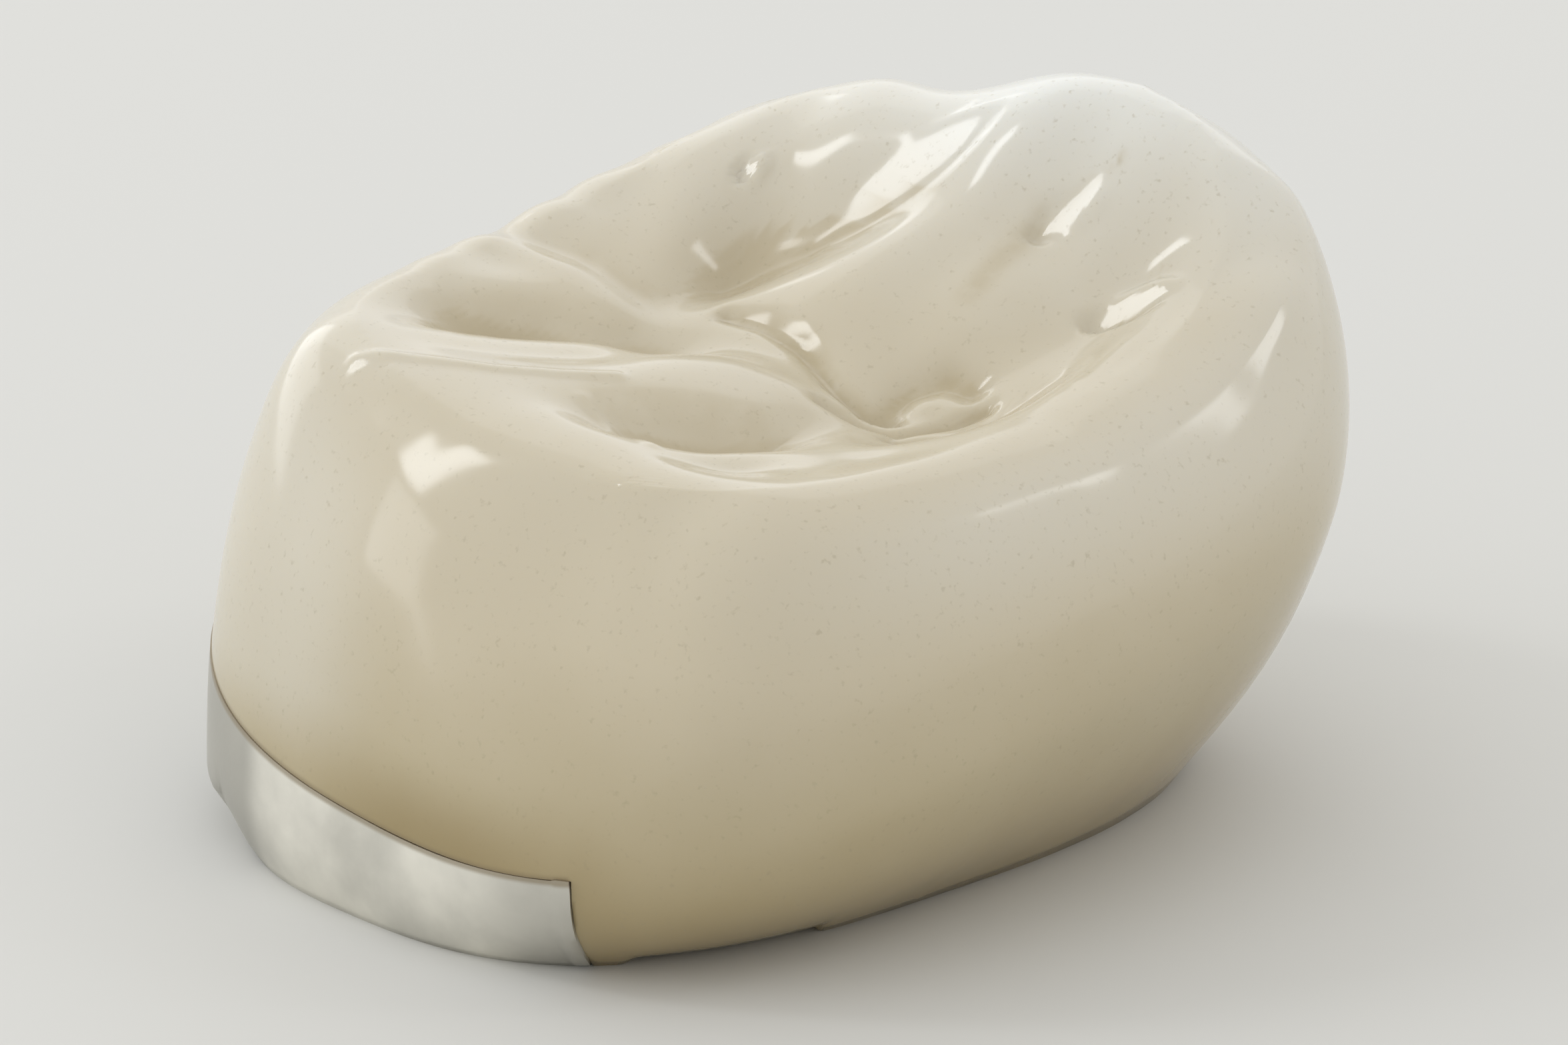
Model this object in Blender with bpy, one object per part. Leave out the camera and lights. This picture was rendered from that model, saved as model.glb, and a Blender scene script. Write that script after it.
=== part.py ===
"""Upper first molar crown, porcelain fused to metal.

A thin cast metal coping fits over the ground tooth and shows as a collar on the palatal
side. A porcelain veneer is baked over it and carries the cusps. The margin lies in the
plane z = 0, +X is distal, +Y is buccal and +Z points to the biting surface.

Every surface goes round one upright axis. A turn is a direction round that axis, in
radians from +X, and each column of faces lies between two turns.
"""

from functools import partial
from math import atan2, cos, degrees, exp, hypot, log, pi, radians, sin, sqrt, tan

import bmesh
import bpy
from mathutils import Vector

MM = 0.001

# Outlines of the crown, from below: margin, crest (its widest line) and rim. The crest
# climbs by its rises, in millimetres per millimetre. A squareness of 2 is an ellipse.
MARGIN_LENGTH = 7.7 * MM
MARGIN_WIDTH = 10.8 * MM
AXIS = Vector((-0.45, -0.5)) * MM
CREST_LENGTH = 10.8 * MM
CREST_WIDTH = 12.2 * MM
CREST_CENTRE = Vector((0.0, 0.0)) * MM
CREST_HEIGHT = 2.6 * MM
CREST_RISE_DISTAL = 0.1
CREST_RISE_BUCCAL = 0.3
SIDE_SQUARENESS = 2.75
SIDE_LEAN = 2.3
RIM_LENGTH = 8.6 * MM
RIM_WIDTH = 10.2 * MM
RIM_CENTRE = Vector((0.0, 0.35)) * MM
RIM_SQUARENESS = 3.6
TABLE_SHARE = 0.88
SHOULDER_SHARE = 0.84

# Biting surface: each ridge runs through places given as x, y and height in millimetres. The
# land beside it is RIDGE_DROP lower at its half width, also in millimetres
RIDGES = {
    "mesial marginal": (1.0, (
        (-2.2, 3.5, 7.0), (-3.0, 2.9, 6.75), (-3.8, 2.0, 6.25), (-4.2, 0.9, 6.0), (-4.3, -0.4, 5.8),
        (-4.1, -1.8, 5.75), (-3.6, -3.1, 5.8), (-3.0, -4.0, 5.85),
    )),
    "buccal": (0.9, (
        (-2.2, 3.5, 7.0), (-1.4, 3.6, 7.05), (-0.7, 3.8, 7.25), (0.2, 4.1, 7.6), (0.9, 4.4, 7.6),
        (1.8, 4.7, 7.4), (2.7, 4.7, 7.1), (3.6, 4.1, 6.4),
    )),
    "distal marginal": (1.2, (
        (3.6, 4.1, 6.4), (3.9, 2.3, 5.75), (4.0, 0.7, 5.45), (3.9, -1.0, 5.4), (3.5, -3.3, 5.4),
    )),
    "distopalatal": (0.9, (
        (-2.6, -4.1, 5.8), (-0.5, -3.8, 5.65), (0.8, -3.75, 5.57), (2.2, -3.65, 5.48), (3.4, -3.1, 5.4),
    )),
    "oblique": (1.1, (
        (-3.0, -4.0, 5.85), (-1.9, -3.9, 5.75), (-1.1, -3.4, 5.7), (-0.5, -2.8, 5.65), (-0.2, -2.2, 5.6),
        (-0.1, -1.5, 5.55), (0.1, -0.9, 5.48), (0.5, -0.6, 5.3),
    )),
    "mesiopalatal": (0.75, (
        (-3.0, -4.0, 5.85), (-2.4, -3.2, 5.72), (-1.75, -2.5, 5.6), (-1.2, -1.6, 5.48),
    )),
    "oblique shelf": (0.4, (
        (0.0, -3.1, 5.5), (0.25, -2.5, 5.5), (0.55, -1.85, 5.47), (1.0, -1.2, 5.35),
    )),
    "inner rim": (0.5, (
        (0.3, -3.5, 5.58), (1.0, -3.3, 5.48), (1.7, -2.95, 5.42), (2.0, -2.3, 5.36), (2.4, -1.6, 5.15),
        (2.7, -1.1, 5.25), (3.25, -0.2, 5.33), (3.4, 0.7, 5.42), (3.3, 1.7, 5.6), (3.1, 2.6, 5.85),
    )),
    "mesial shelf": (0.75, ((-4.0, -1.6, 5.78), (-3.3, -1.5, 5.7), (-2.8, -1.0, 5.6), (-2.3, -0.8, 5.45))),
    "mesial spur": (0.55, (
        (-4.0, -1.0, 5.85), (-3.4, -0.75, 5.75), (-2.8, -0.55, 5.65), (-2.2, -0.5, 5.45),
        (-1.7, -0.35, 5.2),
    )),
    "mesiobuccal lobe": (0.75, (
        (-4.1, 0.2, 5.97), (-2.75, 0.45, 5.62), (-4.1, 1.0, 6.1), (-2.8, 0.6, 5.68), (-3.4, 1.8, 6.35),
    )),
    "mesiobuccal triangular": (0.5, (
        (-2.2, 3.5, 7.05), (-1.95, 2.6, 6.5), (-1.85, 2.05, 6.0), (-1.9, 1.7, 5.65),
    )),
    "middle triangular": (1.3, (
        (0.2, 4.1, 7.5), (0.1, 2.9, 6.6), (-0.6, 1.75, 5.95), (-1.5, 0.75, 5.4),
    )),
    "distobuccal triangular": (0.75, (
        (1.5, 4.4, 7.35), (1.5, 3.8, 6.85), (1.6, 3.3, 6.35), (1.65, 2.6, 5.95), (1.6, 1.9, 5.45),
    )),
    "distal spur": (0.75, (
        (2.8, 4.4, 6.8), (2.8, 3.7, 6.4), (2.55, 3.2, 6.05), (2.4, 2.6, 5.7), (2.3, 1.9, 5.4),
    )),
    "distopalatal triangular": (0.8, ((3.3, -3.2, 5.4), (2.5, -1.8, 5.3), (1.9, -0.9, 5.1))),
}
RIDGE_DROP = 0.5 * MM
RIDGE_ROUNDNESS = 2.2
RIDGE_BLEND = 0.05 * MM
POLISHINGS = 3
FOSSA_HEIGHT = 4.85 * MM

# Grooves are cut into it. Each has a depth, a half width and its places, in millimetres
GROOVES = {
    "mesiobuccal": (0.25, 0.35, ((-1.8, 1.4), (-1.3, 2.2), (-0.65, 2.9))),
    "mesial of the cusp": (0.25, 0.3, ((-1.9, 0.7), (-2.1, 1.5), (-2.35, 2.1), (-2.75, 2.7))),
    "buccal": (0.4, 0.35, ((0.45, 1.7), (0.7, 2.5), (0.95, 3.0), (1.1, 3.6))),
    "distobuccal": (0.16, 0.3, ((2.1, 2.1), (2.25, 2.7), (2.4, 3.3))),
    "central": (0.15, 0.2, (
        (-1.3, 0.4), (-0.8, 0.5), (-0.1, 0.45), (0.7, 0.2), (1.35, 0.2), (1.75, 0.7), (1.75, 1.5),
    )),
    "distopalatal": (0.15, 0.3, ((0.5, -3.1), (1.1, -2.4), (1.4, -1.6), (1.5, -0.9))),
    "mesial": (0.15, 0.25, ((-3.0, -2.2), (-2.4, -1.6), (-1.6, -0.9))),
}

# Furrows run up the side between the lobes of the cusps, deepest at the rim. Each has a turn and
# a half width in degrees, and a depth
FURROWS = {
    "mesiopalatal": (254, 11, 0.14 * MM),
    "palatal": (303, 12, 0.25 * MM),
    "buccal": (100, 10, 0.22 * MM),
    "distobuccal": (66, 9, 0.12 * MM),
}

# Metal coping: a thimble over the ground tooth, with its collar on the palatal side
SHOULDER_WIDTH = 1.0 * MM
CAVITY_HEIGHT = 3.8 * MM
CAVITY_TAPER = radians(5)
CAVITY_EDGE = 0.4 * MM
COPING_WALL = 0.35 * MM
COLLAR_HEIGHT = 2.8 * MM
COLLAR_RISE_MESIAL = 0.09
COLLAR_RISE_BUCCAL = 0.25
COLLAR_START = radians(180)
COLLAR_END = radians(302.5)

# The opaque layer between metal and porcelain is left as a gap
OPAQUE_GAP = 0.02 * MM

# Mesh: the cells of the biting surface make columns of 2.5 degrees, which the collar's ends fit
TABLE_CELLS = 36
SHOULDER_ROWS = 4
SIDE_ROWS = 8
SKIRT_ROWS = 3
EDGE_ROWS = 4
SHARP_ANGLE = radians(40)
HALVINGS = 40
WELD_DISTANCE = 0.0005 * MM


def on_turn(turn, distance, height):
    """A point at a distance from the axis."""
    place = AXIS + Vector((cos(turn), sin(turn))) * distance
    return Vector((place.x, place.y, height))


def reach(turn, centre, length, width, squareness):
    """Distance from the axis to a rounded rectangle, found by halving the search."""
    inner = 0
    outer = length + width
    for _ in range(HALVINGS):
        middle = (inner + outer) / 2
        place = on_turn(turn, middle, 0).xy - centre
        share = abs(place.x * 2 / length) ** squareness + abs(place.y * 2 / width) ** squareness
        if share > 1:
            outer = middle
        else:
            inner = middle
    return inner


def margin(turn):
    """The lower edge of the crown."""
    return on_turn(turn, reach(turn, AXIS, MARGIN_LENGTH, MARGIN_WIDTH, SIDE_SQUARENESS), 0)


def crest(turn):
    """The widest line of the crown, low on the palatal side and high on the buccal side."""
    distance = reach(turn, CREST_CENTRE, CREST_LENGTH, CREST_WIDTH, SIDE_SQUARENESS)
    place = on_turn(turn, distance, CREST_HEIGHT)
    place.z += CREST_RISE_DISTAL * place.x + CREST_RISE_BUCCAL * place.y
    return place


def nearest(place, line):
    """The nearest place of a line through points given in millimetres, and its distance."""
    best = None
    for start, end in zip(line, line[1:]):
        start = Vector(start) * MM
        end = Vector(end) * MM
        run = (end - start).xy
        share = (place - start.xy).dot(run) / run.length_squared
        foot = start.lerp(end, min(max(share, 0), 1))
        away = (place - foot.xy).length
        if best is None or away < best[1]:
            best = (foot, away)
    return best


def ridge_height(place, half_width, line):
    """Height of the land beside one ridge, which drops ever more steeply away from its line."""
    top, away = nearest(place, line)
    return top.z - RIDGE_DROP * (away / MM / half_width) ** RIDGE_ROUNDNESS


def groove_depth(place, depth, half_width, line):
    """Depth that one groove cuts at a place, rounded at its bed and at its banks."""
    away = nearest(place, line)[1] / MM
    return depth * MM * exp(-(away / half_width) ** 2)


def relief(place):
    """Height of the biting surface. The highest ridge wins, then the grooves are cut."""
    heights = [FOSSA_HEIGHT]
    heights += [ridge_height(place, *ridge) for ridge in RIDGES.values()]
    top = max(heights)
    top += RIDGE_BLEND * log(sum(exp((height - top) / RIDGE_BLEND) for height in heights))
    return top - sum(groove_depth(place, *groove) for groove in GROOVES.values())


def table(turn, share):
    """A point of the biting surface between the axis (0) and the rim (1)."""
    distance = share * reach(turn, RIM_CENTRE, RIM_LENGTH, RIM_WIDTH, RIM_SQUARENESS)
    place = on_turn(turn, distance, 0)
    place.z = relief(place.xy)
    return place


def biting_surface(turn, share):
    """A point of the biting surface between the axis (0) and the start of its rounded edge (1)."""
    return table(turn, share * TABLE_SHARE)


def furrow_depth(turn):
    """How far the furrows press the rim inwards."""
    return sum(
        depth * exp(-((degrees(turn) - middle) / half_width) ** 2)
        for middle, half_width, depth in FURROWS.values()
    )


def upper_side(turn, share):
    """A point of the side between the crest (0) and the rim (1)."""
    low = crest(turn)
    high = table(turn, 1)
    place = low.lerp(high, share ** SIDE_LEAN)
    place.z = low.z + (high.z - low.z) * share
    inwards = Vector((-cos(turn), -sin(turn), 0))
    return place + inwards * furrow_depth(turn) * share


def side(turn, height):
    """A point of the side at a height. It bulges out to the crest and leans in above it."""
    widest = crest(turn)
    if height > widest.z:
        return upper_side(turn, (height - widest.z) / (table(turn, 1).z - widest.z))
    place = margin(turn).lerp(widest, 1 - (1 - height / widest.z) ** 2)
    place.z = height
    return place


def shoulder(turn, share):
    """A point of the rounded edge between the biting surface (0) and the side (1)."""
    start = table(turn, TABLE_SHARE)
    corner = upper_side(turn, 1)
    end = upper_side(turn, SHOULDER_SHARE)
    return start.lerp(corner, share).lerp(corner.lerp(end, share), share)


def collar_line(turn):
    """Height of the top of the collar and of the porcelain's edge over it."""
    place = margin(turn)
    return COLLAR_HEIGHT - COLLAR_RISE_MESIAL * place.x + COLLAR_RISE_BUCCAL * place.y


def wall(turn, height, growth):
    """A point of the tapered wall of the cavity (growth 0) or of a wall outside it."""
    inset = SHOULDER_WIDTH + height * tan(CAVITY_TAPER) - growth
    length = MARGIN_LENGTH - 2 * inset
    width = MARGIN_WIDTH - 2 * inset
    return on_turn(turn, reach(turn, AXIS, length, width, SIDE_SQUARENESS), height)


def roof_edge(turn, share, growth):
    """A point of the rounded edge between such a wall (0) and its flat roof (1)."""
    radius = CAVITY_EDGE + growth
    lift = sin(share * pi / 2)
    inward = 1 - cos(share * pi / 2)
    foot = wall(turn, CAVITY_HEIGHT + growth - radius * (1 - lift), growth)
    axis = Vector((AXIS.x, AXIS.y, foot.z))
    return foot + (axis - foot).normalized() * radius * inward


def roof(turn, share, growth):
    """A point of the flat roof inside such an edge, between the axis (0) and the edge (1)."""
    edge = roof_edge(turn, 1, growth)
    return Vector((AXIS.x, AXIS.y, edge.z)).lerp(edge, share)


def side_above_line(turn, share):
    """A point of the side between the rounded edge (0) and the collar line (1)."""
    top = upper_side(turn, SHOULDER_SHARE).z
    return side(turn, top + (collar_line(turn) - top) * share)


def side_below_line(turn, share, drop):
    """A point of the side between the collar line, lowered by the drop (0), and the margin (1)."""
    return side(turn, (collar_line(turn) - drop) * (1 - share))


def wall_at_line(turn, growth, drop):
    """A point of a wall at the collar line, lowered by the drop."""
    return wall(turn, collar_line(turn) - drop, growth)


def rows(surface, count, **sizes):
    """Places of the rows that lead over a surface to share 1, without the row at its start."""
    return [partial(surface, share=(step + 1) / count, **sizes) for step in range(count)]


def turn_of(place):
    """The turn at which a place lies."""
    return atan2(place.y - AXIS.y, place.x - AXIS.x) % (2 * pi)


def near(turn, other):
    """Whether two turns are less than half a column apart."""
    return abs(turn - other) < pi / (4 * TABLE_CELLS)


def square_to_round(place):
    """Turn and share of a place in a square from -1 to 1, when the square is made round."""
    across = sqrt(2) * sin(place.x * pi / 4)
    along = sqrt(2) * sin(place.y * pi / 4)
    x = across * sqrt(1 - along ** 2 / 2)
    y = along * sqrt(1 - across ** 2 / 2)
    return atan2(y, x) % (2 * pi), hypot(x, y)


def lay_grid(mesh, surface, clearance):
    """Lays a grid on a surface. Its columns at the collar's ends give way by the clearance."""
    bmesh.ops.create_grid(mesh, x_segments=TABLE_CELLS, y_segments=TABLE_CELLS, size=1)
    for vertex in mesh.verts:
        turn, share = square_to_round(vertex.co)
        if vertex.is_boundary and near(turn, COLLAR_START):
            turn -= clearance
        if vertex.is_boundary and near(turn, COLLAR_END):
            turn += clearance
        vertex.co = surface(turn, share)
    return [edge for edge in mesh.edges if edge.is_boundary]


def sweep(mesh, edges, places):
    """Extrudes edges once for each row of places and returns the last edges."""
    for place in places:
        made = bmesh.ops.extrude_edge_only(mesh, edges=edges)["geom"]
        edges = [item for item in made if isinstance(item, bmesh.types.BMEdge)]
        for item in made:
            if isinstance(item, bmesh.types.BMVert):
                item.co = place(turn_of(item.co))
    return edges


def sweep_both(mesh, edges, over, beside):
    """Sweeps the edges over the collar and beside it, which meet again in one ring."""
    covered = []
    free = []
    for edge in edges:
        turn = turn_of(sum((vertex.co for vertex in edge.verts), Vector()) / 2)
        if COLLAR_START < turn < COLLAR_END:
            covered.append(edge)
        else:
            free.append(edge)
    sweep(mesh, covered, over)
    sweep(mesh, free, beside)
    bmesh.ops.remove_doubles(mesh, verts=mesh.verts, dist=WELD_DISTANCE)
    for end in (COLLAR_START, COLLAR_END):
        open_edges = [edge for edge in mesh.edges if edge.is_boundary]
        loop = [edge for edge in open_edges if all(near(turn_of(vertex.co), end) for vertex in edge.verts)]
        bmesh.ops.contextual_create(mesh, geom=loop)
    return [edge for edge in mesh.edges if edge.is_boundary]


def make_piece(name, material, mesh, edges):
    """Closes the roof of the hollow and makes the object."""
    bmesh.ops.holes_fill(mesh, edges=edges)
    bmesh.ops.recalc_face_normals(mesh, faces=mesh.faces)
    data = bpy.data.meshes.new(name)
    mesh.to_mesh(data)
    mesh.free()
    data.shade_smooth()
    data.set_sharp_from_angle(angle=SHARP_ANGLE)
    data.materials.append(material)
    piece = bpy.data.objects.new(name, data)
    bpy.context.collection.objects.link(piece)
    return piece


def make_coping(metal):
    """From its roof down to the collar's ledge, over the collar to the margin and up inside."""
    mesh = bmesh.new()
    edges = lay_grid(mesh, partial(roof, growth=COPING_WALL), clearance=0)
    down = reversed(rows(roof_edge, EDGE_ROWS, growth=COPING_WALL)[:-1])
    foot = partial(wall, height=0, growth=COPING_WALL)
    edges = sweep(mesh, edges, [
        *down,
        partial(roof_edge, share=0, growth=COPING_WALL),
        partial(wall_at_line, growth=COPING_WALL, drop=OPAQUE_GAP),
    ])
    collar = [partial(side_below_line, share=0, drop=OPAQUE_GAP)]
    collar += rows(side_below_line, SKIRT_ROWS, drop=OPAQUE_GAP)
    edges = sweep_both(mesh, edges, over=[*collar, foot], beside=[foot])
    edges = sweep(mesh, edges, [
        partial(wall, height=0, growth=0),
        partial(roof_edge, share=0, growth=0),
        *rows(roof_edge, EDGE_ROWS, growth=0),
    ])
    return make_piece("metal_coping", metal, mesh, edges)


def make_veneer(porcelain):
    """From the polished biting surface down to the collar line and margin, and up inside."""
    mesh = bmesh.new()
    growth = COPING_WALL + OPAQUE_GAP
    clearance = OPAQUE_GAP / (MARGIN_LENGTH / 2 - SHOULDER_WIDTH)
    edges = lay_grid(mesh, biting_surface, clearance)
    inside = [vertex for vertex in mesh.verts if not vertex.is_boundary]
    for _ in range(POLISHINGS):
        bmesh.ops.smooth_vert(mesh, verts=inside, factor=0.5, use_axis_z=True)
    edges = sweep(mesh, edges, rows(shoulder, SHOULDER_ROWS) + rows(side_above_line, SIDE_ROWS))
    ledge = partial(wall_at_line, growth=growth, drop=0)
    skirt = rows(side_below_line, SKIRT_ROWS, drop=0)
    foot = partial(wall, height=0, growth=growth)
    edges = sweep_both(mesh, edges, over=[ledge], beside=[*skirt, foot, ledge])
    edges = sweep(mesh, edges, [
        partial(roof_edge, share=0, growth=growth),
        *rows(roof_edge, EDGE_ROWS, growth=growth),
    ])
    return make_piece("porcelain_veneer", porcelain, mesh, edges)


def make_material(name, colour, roughness, metallic):
    material = bpy.data.materials.new(name)
    material.use_nodes = True
    shader = material.node_tree.nodes["Principled BSDF"]
    shader.inputs["Base Color"].default_value = (*colour, 1)
    shader.inputs["Roughness"].default_value = roughness
    shader.inputs["Metallic"].default_value = metallic
    return material


for old in list(bpy.data.objects):
    bpy.data.objects.remove(old)
make_coping(make_material("cast_metal", (0.45, 0.42, 0.37), roughness=0.4, metallic=0.9))
make_veneer(make_material("glazed_porcelain", (0.6, 0.54, 0.42), roughness=0.15, metallic=0))
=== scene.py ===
"""Looks of an upper molar crown, porcelain fused to metal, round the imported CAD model."""

from math import cos, radians, sin

import bpy
import numpy as np
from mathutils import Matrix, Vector


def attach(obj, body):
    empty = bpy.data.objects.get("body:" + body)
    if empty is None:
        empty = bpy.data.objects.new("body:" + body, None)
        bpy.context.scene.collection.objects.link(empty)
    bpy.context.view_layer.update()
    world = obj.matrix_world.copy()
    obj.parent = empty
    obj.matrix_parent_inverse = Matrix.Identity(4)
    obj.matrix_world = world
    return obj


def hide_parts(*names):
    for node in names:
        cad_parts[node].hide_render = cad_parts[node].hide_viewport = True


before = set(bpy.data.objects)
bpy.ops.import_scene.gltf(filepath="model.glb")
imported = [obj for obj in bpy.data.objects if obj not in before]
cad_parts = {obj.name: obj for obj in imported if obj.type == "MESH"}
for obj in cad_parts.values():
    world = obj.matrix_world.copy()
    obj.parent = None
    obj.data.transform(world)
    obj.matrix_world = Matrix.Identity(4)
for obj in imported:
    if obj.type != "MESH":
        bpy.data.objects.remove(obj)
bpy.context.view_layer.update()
MM = 0.001


# Metal coping
# The thin thimble that the porcelain is baked on, cast from a silvery base-metal alloy. Only
# its palatal collar is polished and left bare, and that ends square on both sides.

WELD = 0.0002 * MM
LEVEL_PAIR = radians(25)
SQUARE_PAIR = radians(50)
SHARP = radians(35)
SMOOTH_UP_TO = radians(40)
FINENESS = 2


def bench_copy(node, name):
    """A merged copy of a CAD node, in faces of four sides, with its sharp edges creased."""
    bpy.ops.object.select_all(action="DESELECT")
    piece = bpy.data.objects.new(name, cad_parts[node].data.copy())
    bpy.context.collection.objects.link(piece)
    bpy.context.view_layer.objects.active = piece
    piece.select_set(True)
    bpy.ops.object.mode_set(mode="EDIT")
    bpy.ops.mesh.select_all(action="SELECT")
    bpy.ops.mesh.remove_doubles(threshold=WELD)
    bpy.ops.mesh.tris_convert_to_quads(face_threshold=LEVEL_PAIR, shape_threshold=SQUARE_PAIR)
    bpy.ops.mesh.normals_make_consistent(inside=False)
    bpy.ops.mesh.select_all(action="DESELECT")
    bpy.ops.mesh.select_mode(type="EDGE")
    bpy.ops.mesh.edges_select_sharp(sharpness=SHARP)
    bpy.ops.transform.edge_crease(value=1)
    bpy.ops.object.mode_set(mode="OBJECT")
    piece.data.materials.clear()
    return piece


def apply_modifier(piece, kind, **settings):
    """Changes a piece's mesh by a modifier."""
    bpy.context.view_layer.objects.active = piece
    modifier = piece.modifiers.new(kind.lower(), kind)
    for name, value in settings.items():
        setattr(modifier, name, value)
    bpy.ops.object.modifier_apply(modifier=modifier.name)


def refine(piece):
    """Rounds the facets off."""
    apply_modifier(piece, "SUBSURF", levels=FINENESS, render_levels=FINENESS)
    piece.data.shade_smooth()
    bpy.ops.object.shade_smooth_by_angle(angle=SMOOTH_UP_TO)


coping = bench_copy("metal_coping", "coping")
refine(coping)

# Places are worked out in millimetres, and turns round the crown in degrees
CENTRE = np.array((-0.45, -0.5))
COLLAR_ENDS = (180, 302.5)


def places_of(piece):
    """Where a piece's points are."""
    places = np.empty(len(piece.data.vertices) * 3)
    piece.data.vertices.foreach_get("co", places)
    return places.reshape(-1, 3) / MM


def turns_of(places):
    """How far round the crown each place lies."""
    return np.degrees(np.arctan2(places[:, 1] - CENTRE[1], places[:, 0] - CENTRE[0])) % 360


# The metal swells into the opaque layer, which is too thin to be a piece of its own. That
# layer is thicker at the two ends of the collar, and the foot stands flat.
OPAQUE = 0.05 * MM
THINNER = 0.4
END_TURN = 1.5
FOOT = 0.03

swelling = coping.vertex_groups.new(name="under_porcelain")
points = places_of(coping)
turns = turns_of(points)
for index in np.nonzero(points[:, 2] > FOOT)[0]:
    at_end = min(abs(turns[index] - end) for end in COLLAR_ENDS) < END_TURN
    swelling.add([int(index)], 1 if at_end else THINNER, "REPLACE")
apply_modifier(coping, "DISPLACE", vertex_group="under_porcelain", strength=OPAQUE, mid_level=0)

# The collar's upper edge slopes, and follows the margin's outline below it
MARGIN_HALF = (3.85, 5.4)
MARGIN_SQUARENESS = 2.75
EDGE_MIDDLE = 2.8
EDGE_SLOPE = (-0.09, 0.25)


def share_out(offsets, half_sizes, squareness):
    """How far out offsets lie on the way to a rounded rectangle: 1 on its outline."""
    return ((abs(offsets) / half_sizes) ** squareness).sum(axis=1) ** (1 / squareness)


def edge_height(places):
    """How high the collar's upper edge is at each place."""
    across = places[:, :2] - CENTRE
    share = share_out(across, MARGIN_HALF, MARGIN_SQUARENESS)
    return EDGE_MIDDLE + (CENTRE + across / np.maximum(share, 0.01)[:, None]) @ EDGE_SLOPE


def keep(piece, name, values):
    """Keeps a value for each point, for the piece's material to read."""
    piece.data.attributes.new(name, "FLOAT", "POINT")
    piece.data.attributes[name].data.foreach_set("value", values)


points = places_of(coping)
keep(coping, "below_edge", edge_height(points) - points[:, 2])

cast_metal = bpy.data.materials.new("cast_metal")
cast_metal.use_nodes = True
nodes = cast_metal.node_tree.nodes
links = cast_metal.node_tree.links
metal = nodes["Principled BSDF"]
metal.inputs["Metallic"].default_value = 0.9
place = nodes.new("ShaderNodeTexCoord").outputs["Object"]


def join(kind, **settings):
    """A node of the material in hand, with its settings and values by name."""
    node = nodes.new(kind)
    for name, value in settings.items():
        if name in node.inputs:
            node.inputs[name].default_value = value
        else:
            setattr(node, name, value)
    return node


def noise(scale, detail):
    """A noise over the piece, from 0 to 1."""
    made = join("ShaderNodeTexNoise", Scale=scale, Detail=detail)
    links.new(place, made.inputs["Vector"])
    return made.outputs["Fac"]


def along(axis):
    """The place along an axis, in metres."""
    split = join("ShaderNodeSeparateXYZ")
    links.new(place, split.inputs["Vector"])
    return split.outputs[axis]


def kept(name):
    """A value that was kept for each point."""
    return join("ShaderNodeAttribute", attribute_name=name).outputs["Fac"]


def spread(value, low, high):
    """A value from 0 to 1 spread between two others."""
    made = join("ShaderNodeMapRange", **{"To Min": low, "To Max": high})
    links.new(value, made.inputs["Value"])
    return made.outputs["Result"]


def ranged(value, start, end, most):
    """A factor that rises from 0 to its most while a value goes from start to end."""
    made = join("ShaderNodeMapRange", interpolation_type="SMOOTHSTEP",
                **{"From Min": start, "From Max": end, "To Max": most})
    links.new(value, made.inputs["Value"])
    return made.outputs["Result"]


def shades(value, *stops):
    """Colours along a value, each from its own stop between 0 and 1."""
    made = join("ShaderNodeValToRGB")
    elements = made.color_ramp.elements
    elements[0].position = stops[0][0]
    elements[1].position = stops[-1][0]
    for position, _ in stops[1:-1]:
        elements.new(position)
    for element, (_, colour) in zip(elements, stops):
        element.color = (*colour, 1)
    links.new(value, made.inputs["Fac"])
    return made.outputs["Color"]


def tint(under, factor, colour):
    """Lays a colour over another by a factor."""
    over = join("ShaderNodeMix", data_type="RGBA")
    over.inputs["B"].default_value = (*colour, 1)
    links.new(factor, over.inputs["Factor"])
    links.new(under, over.inputs["A"])
    return over.outputs["Result"]


# Mottled by the casting, with painted shade at the collar's two ends, and browned by oxide along
# its upper edge
SHADED_END = (0.45, 0.44, 0.4)
mottle = noise(900, 6)
shade = shades(mottle, (0.35, (0.69, 0.675, 0.615)), (0.68, (0.89, 0.87, 0.795)))
# Painted shade: the metal is darkened towards both ends of the collar, most at the mesial end,
# where it stands in for a dark reflection
shade = tint(shade, ranged(along("X"), -1.9 * MM, -2.4 * MM, 0.85), SHADED_END)
shade = tint(shade, ranged(along("X"), 1.3 * MM, 2.4 * MM, 0.5), SHADED_END)
shade = tint(shade, ranged(kept("below_edge"), 0.09, 0.03, 0.75), (0.34, 0.28, 0.19))
links.new(shade, metal.inputs["Base Color"])
links.new(spread(mottle, 0.34, 0.5), metal.inputs["Roughness"])
grain = join("ShaderNodeBump", Strength=0.25, Distance=0.01 * MM)
links.new(noise(9000, 3), grain.inputs["Height"])
links.new(grain.outputs["Normal"], metal.inputs["Normal"])
coping.data.materials.append(cast_metal)

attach(coping, "root")
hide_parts("metal_coping")


# Porcelain veneer
# Layers of dental porcelain baked on the coping and glazed. Dentine colours show at the neck,
# greyish translucent enamel on the cusps, and brown stain in the grooves. Painted shade darkens the
# neck and the hollows, and painted light brightens the lower mesial side.

veneer = bench_copy("porcelain_veneer", "veneer")
refine(veneer)

# The rim of the biting surface, which is rubbed smooth before it is glazed
RIM_CENTRE = (0, 0.35)
RIM_HALF = (4.3, 5.1)
RIM_SQUARENESS = 3.6
RIM_WIDTH = 0.16
LOWEST_TOP = 4.6
RUBBINGS = 12
LEAST_RUBBED = 0.05


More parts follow.
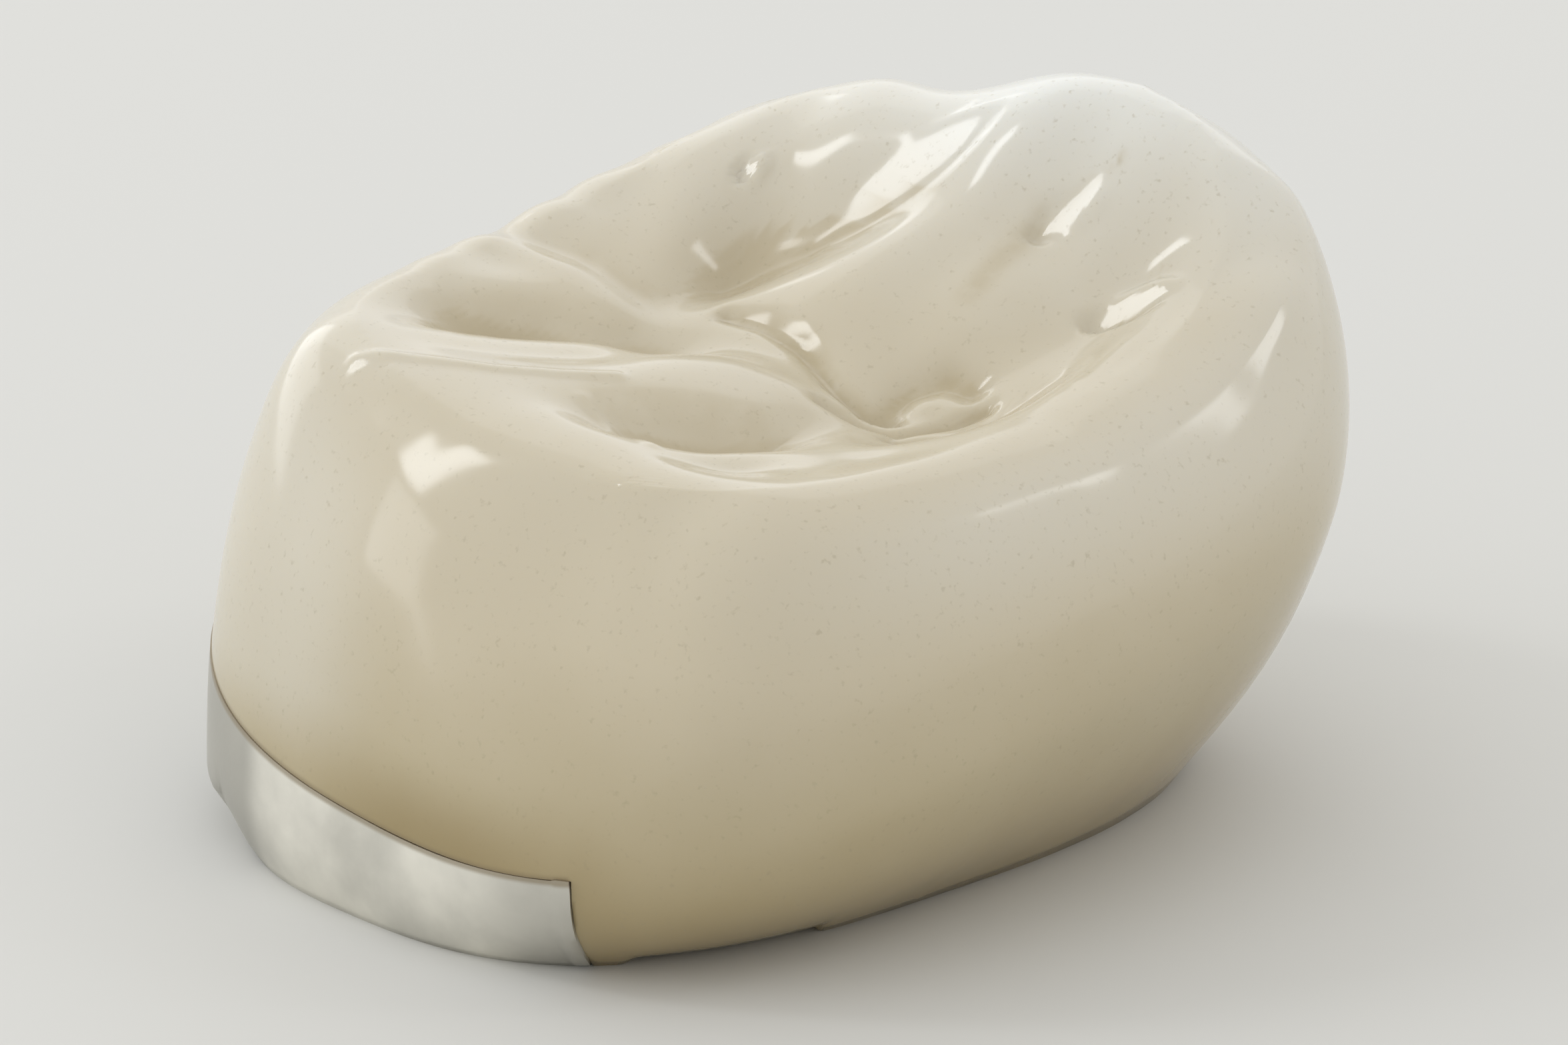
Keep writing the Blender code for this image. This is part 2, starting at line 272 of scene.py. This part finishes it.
def rim_share(places):
    """How far out each place lies, seen from above: 1 on the rim."""
    return share_out(places[:, :2] - RIM_CENTRE, RIM_HALF, RIM_SQUARENESS)


def bell(values, half_width, power=2):
    """1 where the values are 0, and fading on both sides."""
    return np.exp(-(values / half_width) ** power)


def climb(values, start, end):
    """A share that climbs from 0 to 1 while the values go from start to end."""
    return np.clip((values - start) / (end - start), 0, 1)


rubbed = veneer.vertex_groups.new(name="rim")
points = places_of(veneer)
on_rim = bell(rim_share(points) - 1, RIM_WIDTH) * (points[:, 2] > LOWEST_TOP)
for index in np.nonzero(on_rim > LEAST_RUBBED)[0]:
    rubbed.add([int(index)], float(on_rim[index]), "REPLACE")
apply_modifier(veneer, "SMOOTH", vertex_group="rim", iterations=RUBBINGS)


def away_from(places, line):
    """Distance, seen from above, from each place to a line through points."""
    nearest = np.full(len(places), np.inf)
    for start, end in zip(line, line[1:]):
        start = np.array(start)
        run = np.array(end) - start
        share = np.clip((places - start) @ run / (run @ run), 0, 1)
        nearest = np.minimum(nearest, np.linalg.norm(places - start - share[:, None] * run, axis=1))
    return nearest


# Fine cuts (below zero) and crests of the carver's blade: depth and half width in
# millimetres, and the points that each passes through on the biting surface
TOP = 4.7
CENTRAL_GROOVE = ((-1.3, 0.4), (-0.8, 0.5), (-0.1, 0.45), (0.7, 0.2), (1.2, 0.2), (1.45, 0.35))
PIT_GROOVE = ((1.0, -0.25), (1.4, -0.05), (1.8, 0.15), (2.05, 0.65), (2.2, 1.1))
PIT_BRANCH = ((2.0, -0.05), (2.5, 0.3))
PIT_RING = ((1.3, 0.45), (1.25, 0.8), (1.45, 1.2), (1.8, 1.25))
STROKES = (
    (-0.12, 0.12, CENTRAL_GROOVE),
    (-0.12, 0.11, PIT_GROOVE),
    (-0.12, 0.14, PIT_BRANCH),
    (-0.11, 0.2, PIT_RING),
    (0.1, 0.28, ((1.55, 0.8), (1.75, 0.95))),
    (0.045, 0.09, ((-2.2, -4.3), (-1.0, -3.38), (-0.45, -2.8), (-0.1, -2.3))),
    (0.03, 0.08, ((0.02, -2.92), (0.7, -3.0), (1.46, -3.16))),
)
shape = veneer.data
points = places_of(veneer)
facing = np.array([vertex.normal.z for vertex in shape.vertices])
on_top = climb(points[:, 2], TOP, TOP + 0.1) * climb(facing, 0, 0.3)
for depth, half_width, line in STROKES:
    points[:, 2] += on_top * depth * bell(away_from(points[:, :2], line), half_width)

# The palatal cusp stands out as one full lobe from the rim down to the widest line
LOBE_DEPTH = 0.26
LOBE_X = -0.3
LOBE_Z = 4.9
lobe = bell(points[:, 0] - LOBE_X, 1.5) * bell(points[:, 2] - LOBE_Z, 1.4)
points[:, 1] -= LOBE_DEPTH * lobe * climb(points[:, 1], -3.6, -4.2)

# Flats left by the polishing wheel, all tilted the same way: middle, turn, half length and
# half width
FLAT_SLOPE = (-0.086, 1.084)
FLAT_CORE = 0.12
FLATS = (
    (-0.84, 2.92, 45, 0.65, 0.25),
    (1.24, 3.24, 53, 0.36, 0.17),
    (2.6, 2.9, 43, 0.4, 0.18),
    (-2.73, 2.05, 60, 0.15, 0.12),
)
for x, y, turn, length, width in FLATS:
    offset = points[:, :2] - (x, y)
    lengthwise = offset @ (cos(radians(turn)), sin(radians(turn)))
    sideways = offset @ (-sin(radians(turn)), cos(radians(turn)))
    core = on_top * (np.hypot(*offset.T) < FLAT_CORE)
    height = (points[:, 2] * core).sum() / core.sum()
    share = on_top * climb(np.hypot(lengthwise / length, sideways / width), 1.5, 1)
    points[:, 2] += share * (height + offset @ FLAT_SLOPE - points[:, 2])
shape.vertices.foreach_set("co", (points * MM).ravel())
shape.update()

# The hand-built layers leave a faint unevenness, which wavers the edges of each reflection
UNEVENNESS = 0.016 * MM
waver = bpy.data.textures.new("waver", "CLOUDS")
waver.noise_scale = 1.6 * MM
apply_modifier(veneer, "DISPLACE", texture=waver, strength=UNEVENNESS, mid_level=0.5,
               texture_coords="LOCAL")

# Distance to the collar's outline. The brown above it, partly stain and partly painted shade, fades
# upwards and to both ends.
NECK_DARKENING_HEIGHT = 1.1
turns = turns_of(points)
past_end = np.maximum(np.maximum(COLLAR_ENDS[0] - turns, turns - COLLAR_ENDS[1]), 0)
aside = np.radians(past_end) * np.linalg.norm(points[:, :2] - CENTRE, axis=1)
from_collar = np.hypot(aside, np.maximum(points[:, 2] - edge_height(points), 0))
along_collar = np.interp(points[:, 0], (-1.3, 0.5, 1.4, 2.7), (0.15, 1, 1, 0.55))
keep(veneer, "from_collar", from_collar)
keep(veneer, "cervical_stain_and_shade", climb(from_collar, NECK_DARKENING_HEIGHT, 0) * along_collar)

# How far each point lies below its surroundings, from a blurred map of the biting surface
CELL = 0.1
SPAN = 140
BLURRINGS = 30
column, row = ((points[:, :2] / CELL + SPAN / 2).astype(int)).T
outer = facing > 0.05
total = np.zeros((SPAN, SPAN))
count = np.zeros((SPAN, SPAN))
np.add.at(total, (column[outer], row[outer]), points[outer, 2])
np.add.at(count, (column[outer], row[outer]), 1)
for _ in range(BLURRINGS):
    for grid in (total, count):
        for axis in (0, 1):
            grid[:] = (np.roll(grid, 1, axis) + grid * 2 + np.roll(grid, -1, axis)) / 4
blurred = total / np.maximum(count, 1e-9)
rim = rim_share(points)
inside = climb(rim, 1, 0.88) * climb(points[:, 2], LOWEST_TOP, TOP)
keep(veneer, "hollow_shade_and_stain", inside * np.where(outer, blurred[column, row] - points[:, 2], 0))

# Brush strokes of stain in the grooves, and of painted shade along the feet of steep walls and in
# the two lens-shaped hollows: strength, half width in millimetres, and the points on the way. Those
# in the two lens-shaped hollows have a firmer edge.
SOFT_EDGE = 2
FIRM_EDGE = 5
STAIN_AND_SHADE_STROKES = (
    (0.4, 0.28, SOFT_EDGE, ((-1.8, 1.75), (-1.3, 2.15), (-0.5, 2.6))),
    (0.7, 0.22, SOFT_EDGE, ((1.0, 2.0), (0.95, 2.6), (1.0, 3.0))),
    (0.4, 0.12, SOFT_EDGE, ((1.0, 3.0), (1.45, 3.8))),
    (1.0, 0.05, SOFT_EDGE, ((1.44, 3.8), (1.46, 3.82))),
    (0.45, 0.25, SOFT_EDGE, ((-3.0, -0.15), (-2.4, -0.1), (-2.0, 0.4))),
    (0.25, 0.22, SOFT_EDGE, ((-2.75, 2.9), (-2.25, 2.2), (-2.05, 1.7))),
    (0.75, 0.2, SOFT_EDGE, CENTRAL_GROOVE),
    (0.55, 0.18, SOFT_EDGE, PIT_GROOVE),
    (0.5, 0.18, SOFT_EDGE, PIT_BRANCH),
    (0.7, 0.2, SOFT_EDGE, PIT_RING),
    (0.3, 0.3, FIRM_EDGE, ((-3.1, -2.15), (-2.6, -1.42), (-1.95, -0.68))),
    (0.35, 0.32, FIRM_EDGE, ((0.1, -2.7), (0.53, -2.08), (1.05, -1.4))),
)
darkened = [
    strength * bell(away_from(points[:, :2], line), half_width, firmness)
    for strength, half_width, firmness, line in STAIN_AND_SHADE_STROKES
]
keep(veneer, "stain_and_shade", on_top * np.max(darkened, axis=0))

# Translucent enamel high up over the distal and buccal cusps, and painted light in the same pale
# colour lower down round the mesial end of the palatal side
FAR_SIDE = (0.8, 0.6)
outwards = points[:, :2] @ FAR_SIDE
buccal = climb(outwards, 0, 3) * climb(points[:, 2], 3.5, 5)
painted_light_mesial = climb(-outwards, 3.3, 4.8) * climb(points[:, 2], 1.3, 2.5)
keep(veneer, "enamel_and_painted_light", climb(rim, 0.9, 1.1) * np.maximum(buccal, painted_light_mesial))

porcelain = bpy.data.materials.new("glazed_porcelain")
porcelain.use_nodes = True
nodes = porcelain.node_tree.nodes
links = porcelain.node_tree.links
glaze = nodes["Principled BSDF"]
glaze.inputs["IOR"].default_value = 1.5
glaze.inputs["Subsurface Weight"].default_value = 0.15
glaze.inputs["Subsurface Radius"].default_value = (1.0, 0.8, 0.5)
glaze.inputs["Subsurface Scale"].default_value = 0.5 * MM
place = nodes.new("ShaderNodeTexCoord").outputs["Object"]

# The layers follow the height, wavered by a slow noise. The dark colours low down are partly the
# dentine's own and partly painted shade.
CROWN_HEIGHT = 7.6 * MM
SWAY = 0.6 * MM
cloud = noise(420, 3)
level = join("ShaderNodeMath", operation="ADD")
links.new(along("Z"), level.inputs[0])
links.new(spread(cloud, -SWAY, SWAY), level.inputs[1])
height = join("ShaderNodeMapRange", **{"From Max": CROWN_HEIGHT})
links.new(level.outputs["Value"], height.inputs["Value"])
shade = shades(
    height.outputs["Result"],
    (0, (0.37, 0.29, 0.15)),
    (0.14, (0.43, 0.35, 0.20)),
    (0.30, (0.50, 0.43, 0.285)),
    (0.50, (0.585, 0.52, 0.385)),
    (0.72, (0.595, 0.54, 0.42)),
    (0.86, (0.66, 0.63, 0.545)),
    (1, (0.73, 0.735, 0.70)),
)

# Pale enamel and painted light, painted shade and stain in the hollows, and specks of pigment. The
# brush left its stain patchy.
depth = kept("hollow_shade_and_stain")
patchy = join("ShaderNodeMath", operation="MULTIPLY")
links.new(kept("stain_and_shade"), patchy.inputs[0])
links.new(ranged(noise(2600, 4), 0.1, 0.6, 1), patchy.inputs[1])
# Enamel on the cusps, and painted light on the lower mesial side, in one pale colour
shade = tint(shade, ranged(kept("enamel_and_painted_light"), 0, 1, 0.45), (0.70, 0.68, 0.61))
# Painted shade, with some stain: darker the deeper a point lies below its surroundings
shade = tint(shade, ranged(depth, 0.02, 0.3, 0.5), (0.48, 0.40, 0.25))
shade = tint(shade, ranged(depth, 0.07, 0.13, 0.3), (0.45, 0.37, 0.22))
shade = tint(shade, ranged(patchy.outputs["Value"], 0, 1, 0.5), (0.42, 0.34, 0.19))
shade = tint(shade, ranged(noise(13000, 2), 0.6, 0.8, 0.35), (0.36, 0.31, 0.2))

# Brown above the collar, partly stain and partly painted shade, and oxide of the metal in a thin
# line along it
shade = tint(shade, ranged(kept("cervical_stain_and_shade"), 0, 1, 0.85), (0.32, 0.245, 0.115))
shade = tint(shade, ranged(kept("from_collar"), 0.07, 0, 0.6), (0.25, 0.185, 0.1))
links.new(shade, glaze.inputs["Base Color"])
links.new(spread(cloud, 0.06, 0.2), glaze.inputs["Roughness"])
veneer.data.materials.append(porcelain)

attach(veneer, "root")
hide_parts("porcelain_veneer")


# Table
# A plain pale sheet that the crown stands on. It is matt, so that it mirrors nothing.

bpy.ops.object.select_all(action="DESELECT")
bpy.ops.mesh.primitive_plane_add(size=1.2, location=(0, 0, 0))
table = bpy.context.object
table.name = "table"
pale = bpy.data.materials.new("pale_sheet")
pale.use_nodes = True
sheet = pale.node_tree.nodes["Principled BSDF"]
sheet.inputs["Base Color"].default_value = (0.66, 0.66, 0.64, 1)
sheet.inputs["Roughness"].default_value = 0.8
table.data.materials.append(pale)


# Lamps
# Five soft windows round the crown and a pale room. The small flats mirror the first and
# narrowest window, and the wide ones light the sides.

MIDDLE = Vector((0, 0, 4 * MM))
WINDOW_DISTANCE = 0.3
# Azimuth and elevation in degrees, width and height in metres, and power in watts
WINDOWS = (
    ("window_left", -52, 41, 0.04, 0.09, 0.075),
    ("window_far_left", -88, 12, 0.25, 0.16, 0.17),
    ("window_low", -43, 17, 0.1, 0.14, 0.08),
    ("window_back", -125, 30, 0.35, 0.24, 0.12),
    ("window_behind", 141, 40, 0.026, 0.08, 0.03),
)


def direction(azimuth, elevation):
    """From the crown: azimuth from the -Y axis towards +X, both in degrees."""
    turn = radians(azimuth)
    rise = radians(elevation)
    return Vector((sin(turn) * cos(rise), -cos(turn) * cos(rise), sin(rise)))


for name, azimuth, elevation, width, height, power in WINDOWS:
    lamp = bpy.data.lights.new(name, "AREA")
    lamp.color = (0.94, 0.97, 1.0)
    lamp.shape = "RECTANGLE"
    lamp.size = width
    lamp.size_y = height
    lamp.energy = power
    window = bpy.data.objects.new(name, lamp)
    towards = direction(azimuth, elevation)
    window.location = MIDDLE + towards * WINDOW_DISTANCE
    window.rotation_euler = towards.to_track_quat("Z", "Y").to_euler()
    bpy.context.collection.objects.link(window)

world = bpy.data.worlds.new("room")
bpy.context.scene.world = world
world.use_nodes = True
room = world.node_tree.nodes["Background"]
room.inputs["Color"].default_value = (1.0, 0.99, 0.97, 1)
room.inputs["Strength"].default_value = 0.9


# Camera
# The crown is seen from its palatal and distal side, a little from above. It stands in the
# photograph's place in the picture, at the photograph's size.

VIEW = (48, 21.5)
FILM = 36
DISTANCE = 340 * MM
VIEW_WIDTH = 17.5 * MM
RAISED = 3.03 * MM
camera = bpy.data.cameras.new("camera")
camera.sensor_width = FILM
camera.lens = FILM * DISTANCE / VIEW_WIDTH
camera.clip_start = 0.01
camera.clip_end = 10
viewer = bpy.data.objects.new("camera", camera)
bpy.context.collection.objects.link(viewer)
eye = direction(*VIEW)
upright = eye.to_track_quat("Z", "Y")
target = Vector((0.04, 0.045, 0)) * MM + upright @ Vector((0, RAISED, 0))
viewer.location = target + eye * DISTANCE
viewer.rotation_euler = upright.to_euler()
bpy.context.scene.camera = viewer
bpy.context.scene.view_settings.view_transform = "Standard"
